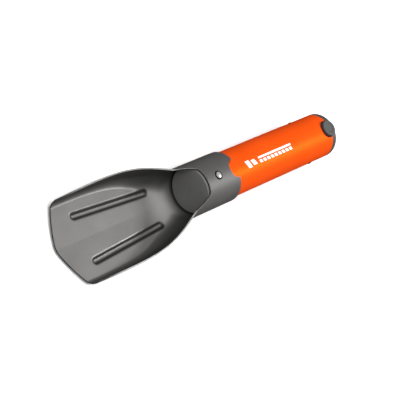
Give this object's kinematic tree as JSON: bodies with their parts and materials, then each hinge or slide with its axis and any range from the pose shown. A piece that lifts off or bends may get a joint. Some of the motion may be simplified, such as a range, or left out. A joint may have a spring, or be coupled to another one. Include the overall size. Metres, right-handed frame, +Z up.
{
  "type": "camp shovel",
  "caption": "Short camp trowel: a pressed metal scoop with a round collar and a tube handle that slides into it, held by a spring button.",
  "frame": {"origin": "under the middle of the whole length, on the plane of the scoop's two ribs, with the handle drawn out", "axes": "+Y from the blade's tip to the handle's end, +Z up out of the scoop's open side"},
  "size_m": [0.0616, 0.2664, 0.0388],
  "materials": {
    "blade_metal": "satin",
    "anodised_tube": "satin orange anodising",
    "plug_plastic": "matte",
    "cap_plastic": "matte",
    "button_steel": "polished",
    "pin_steel": "blackened",
    "spring_steel": "bright"
  },
  "bodies": {
    "blade": {"blade": "blade_metal"},
    "handle": {"handle_tube": "anodised_tube", "front_plug": "plug_plastic", "button_spring": "spring_steel"},
    "lock_button": {"lock_button": "button_steel"},
    "end_cap": {"end_cap": "cap_plastic", "latch_spring": "spring_steel"},
    "latch_left": {"latch_pin_left": "pin_steel"},
    "latch_right": {"latch_pin_right": "pin_steel"}
  },
  "joints": [
    {"name": "handle_slide", "type": "slide", "parent": "blade", "child": "handle", "axis": [0, -1, 0], "range_m": [0, 0.11]},
    {"name": "button_press", "type": "slide", "parent": "handle", "child": "lock_button", "axis": [0, 0, -1], "range_m": [0, 0.0022], "stiffness_N_per_m": 900, "springref_m": -0.0015, "deforming": ["button_spring"]},
    {"name": "cap_pull", "type": "slide", "parent": "handle", "child": "end_cap", "axis": [0, 1, 0], "range_m": [0, 0.15]},
    {"name": "latch_left_press", "type": "slide", "parent": "end_cap", "child": "latch_left", "axis": [1, 0, 0], "range_m": [0, 0.0016], "stiffness_N_per_m": 700, "springref_m": -0.0015, "deforming": ["latch_spring"]},
    {"name": "latch_right_press", "type": "slide", "parent": "end_cap", "child": "latch_right", "axis": [-1, 0, 0], "range_m": [0, 0.0016], "stiffness_N_per_m": 700, "springref_m": -0.0015, "deforming": ["latch_spring"]}
  ],
  "couplings": [
    {"joint": "latch_right_press", "follows": "latch_left_press", "ratio": 1}
  ]
}
